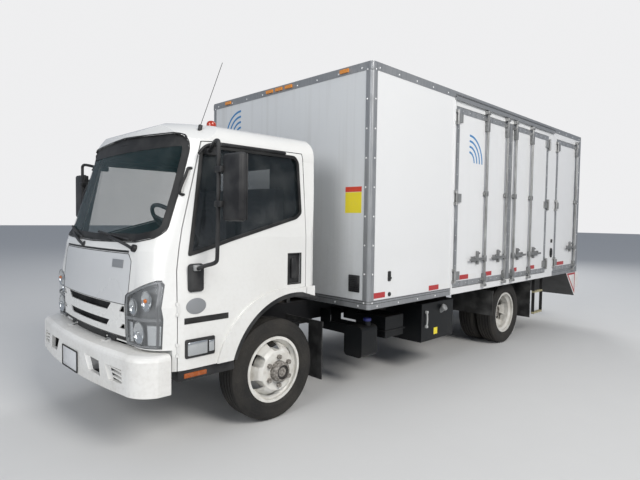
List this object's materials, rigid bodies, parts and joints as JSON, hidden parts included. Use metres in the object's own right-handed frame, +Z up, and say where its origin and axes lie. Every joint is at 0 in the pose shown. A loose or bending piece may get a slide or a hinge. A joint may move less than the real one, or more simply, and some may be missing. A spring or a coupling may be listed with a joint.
{
  "type": "mobile shredding truck",
  "caption": "Low cab-forward truck with a tilting cab and a panel box body that holds a paper shredder, with side, kerb side and rear doors.",
  "frame": {"origin": "centre of the ground area under the truck", "axes": "+X forward, +Y to the left, +Z up"},
  "size_m": [7.32, 2.862, 2.935],
  "materials": {
    "cab_white": "gloss white paint, light dirt",
    "box_white": "gloss white panel, streaked",
    "aluminium_rail": "mill finish extrusion with rivets",
    "door_frame": "satin aluminium edge, white panel",
    "chassis_black": "satin black, dusty",
    "tank_black": "satin black",
    "bumper_white": "scuffed white",
    "black_plastic": "textured",
    "grille_black": "mesh",
    "lamp_lens": "clear lens over bright reflector",
    "glass_tint": "tinted glass",
    "tyre_rubber": "dusty rubber",
    "wheel_white": "white wheel with grime",
    "steel_dark": "dusty cast steel",
    "spring_steel": "painted spring steel",
    "seat_fabric": "dark woven seat cloth",
    "dash_plastic": "grained",
    "floor_steel": "worn floor",
    "machine_paint": "grey machine paint",
    "ladder_yellow": "dirty yellow paint",
    "lamp_red": "red lens",
    "flap_rubber": "mudflap rubber",
    "apron_white": "white plate with red edge",
    "exhaust_steel": "heat-tinted steel"
  },
  "bodies": {
    "chassis": {"frame_rails": "chassis_black", "front_bumper": "bumper_white", "front_axle": "steel_dark", "leaf_springs": "spring_steel", "rear_axle": "steel_dark", "driveline": "steel_dark", "def_tank": "tank_black", "battery_box": "tank_black", "hydraulic_tank": "tank_black", "fuel_tank": "tank_black", "exhaust": "exhaust_steel", "air_cleaner": "black_plastic", "mudflaps": "flap_rubber", "access_ladder": "ladder_yellow", "tail_apron": "apron_white", "body_side_left": "box_white", "body_side_right": "box_white", "body_front_wall": "box_white", "body_roof": "box_white", "body_rails": "aluminium_rail", "body_floor": "floor_steel", "body_lamps": "lamp_red", "bulkhead": "box_white", "shredder_unit": "machine_paint", "lift_mast": "machine_paint"},
    "knuckle_left": {"knuckle_left": "steel_dark"},
    "knuckle_right": {"knuckle_right": "steel_dark"},
    "tie_rod": {"tie_rod": "steel_dark"},
    "wheel_front_left": {"wheel_front_left": "wheel_white", "tyre_front_left": "tyre_rubber"},
    "wheel_front_right": {"wheel_front_right": "wheel_white", "tyre_front_right": "tyre_rubber"},
    "wheels_rear_left": {"wheels_rear_left": "wheel_white", "tyres_rear_left": "tyre_rubber"},
    "wheels_rear_right": {"wheels_rear_right": "wheel_white", "tyres_rear_right": "tyre_rubber"},
    "cab": {"cab_shell": "cab_white", "front_panel": "cab_white", "grille_mesh": "grille_black", "cab_glass": "glass_tint", "cab_lamps": "lamp_lens", "dashboard": "dash_plastic", "seats": "seat_fabric"},
    "cab_door_left": {"cab_door_left": "cab_white", "door_glass_left": "glass_tint", "mirror_left": "black_plastic"},
    "cab_door_right": {"cab_door_right": "cab_white", "door_glass_right": "glass_tint", "mirror_right": "black_plastic"},
    "side_door_front": {"side_door_front": "door_frame"},
    "side_door_rear": {"side_door_rear": "door_frame"},
    "side_door_small": {"side_door_small": "door_frame"},
    "kerb_door": {"kerb_door": "door_frame"},
    "rear_door_left": {"rear_door_left": "door_frame"},
    "rear_door_right": {"rear_door_right": "door_frame"},
    "lift_carriage": {"lift_carriage": "machine_paint"}
  },
  "joints": [
    {"name": "steer_left", "type": "hinge", "parent": "chassis", "child": "knuckle_left", "pos_m": [2.443, 0.7, 0.4], "axis": [0, 0, 1], "range_deg": [-38, 38]},
    {"name": "steer_right", "type": "hinge", "parent": "chassis", "child": "knuckle_right", "pos_m": [2.443, -0.7, 0.4], "axis": [0, 0, 1], "range_deg": [-38, 38]},
    {"name": "tie_rod_eye", "type": "hinge", "parent": "knuckle_left", "child": "tie_rod", "pos_m": [2.293, 0.7, 0.3337], "axis": [0, 0, 1], "range_deg": [-38, 38]},
    {"name": "spin_front_left", "type": "hinge", "parent": "knuckle_left", "child": "wheel_front_left", "pos_m": [2.443, 0.8325, 0.4], "axis": [0, 1, 0], "continuous": true},
    {"name": "spin_front_right", "type": "hinge", "parent": "knuckle_right", "child": "wheel_front_right", "pos_m": [2.443, -0.8325, 0.4], "axis": [0, 1, 0], "continuous": true},
    {"name": "spin_rear_left", "type": "hinge", "parent": "chassis", "child": "wheels_rear_left", "pos_m": [-1.367, 0.825, 0.4], "axis": [0, 1, 0], "continuous": true},
    {"name": "spin_rear_right", "type": "hinge", "parent": "chassis", "child": "wheels_rear_right", "pos_m": [-1.367, -0.825, 0.4], "axis": [0, 1, 0], "continuous": true},
    {"name": "cab_tilt", "type": "hinge", "parent": "chassis", "child": "cab", "pos_m": [3.533, 0, 0.68], "axis": [0, 1, 0], "range_deg": [0, 45]},
    {"name": "cab_door_left_hinge", "type": "hinge", "parent": "cab", "child": "cab_door_left", "pos_m": [3.318, 0.993, 1], "axis": [0, 0, 1], "range_deg": [-70, 0]},
    {"name": "cab_door_right_hinge", "type": "hinge", "parent": "cab", "child": "cab_door_right", "pos_m": [3.318, -0.993, 1], "axis": [0, 0, -1], "range_deg": [-70, 0]},
    {"name": "side_door_front_hinge", "type": "hinge", "parent": "chassis", "child": "side_door_front", "pos_m": [0.267, 1.24, 1.8], "axis": [0, 0, -1], "range_deg": [0, 170]},
    {"name": "side_door_rear_hinge", "type": "hinge", "parent": "chassis", "child": "side_door_rear", "pos_m": [-2.221, 1.24, 1.8], "axis": [0, 0, 1], "range_deg": [0, 90]},
    {"name": "side_door_small_hinge", "type": "hinge", "parent": "chassis", "child": "side_door_small", "pos_m": [-2.528, 1.24, 1.8], "axis": [0, 0, -1], "range_deg": [0, 90]},
    {"name": "kerb_door_hinge", "type": "hinge", "parent": "chassis", "child": "kerb_door", "pos_m": [0.399, -1.24, 1.8], "axis": [0, 0, -1], "range_deg": [0, 170]},
    {"name": "rear_door_left_hinge", "type": "hinge", "parent": "chassis", "child": "rear_door_left", "pos_m": [-3.547, 1.146, 1.8], "axis": [0, 0, -1], "range_deg": [0, 175]},
    {"name": "rear_door_right_hinge", "type": "hinge", "parent": "chassis", "child": "rear_door_right", "pos_m": [-3.547, -1.146, 1.8], "axis": [0, 0, 1], "range_deg": [0, 175]},
    {"name": "lift_slide", "type": "slide", "parent": "chassis", "child": "lift_carriage", "axis": [0, 0, 1], "range_m": [0, 1.15]}
  ],
  "couplings": [
    {"joint": "steer_right", "follows": "steer_left", "ratio": 1},
    {"joint": "tie_rod_eye", "follows": "steer_left", "ratio": -1}
  ]
}
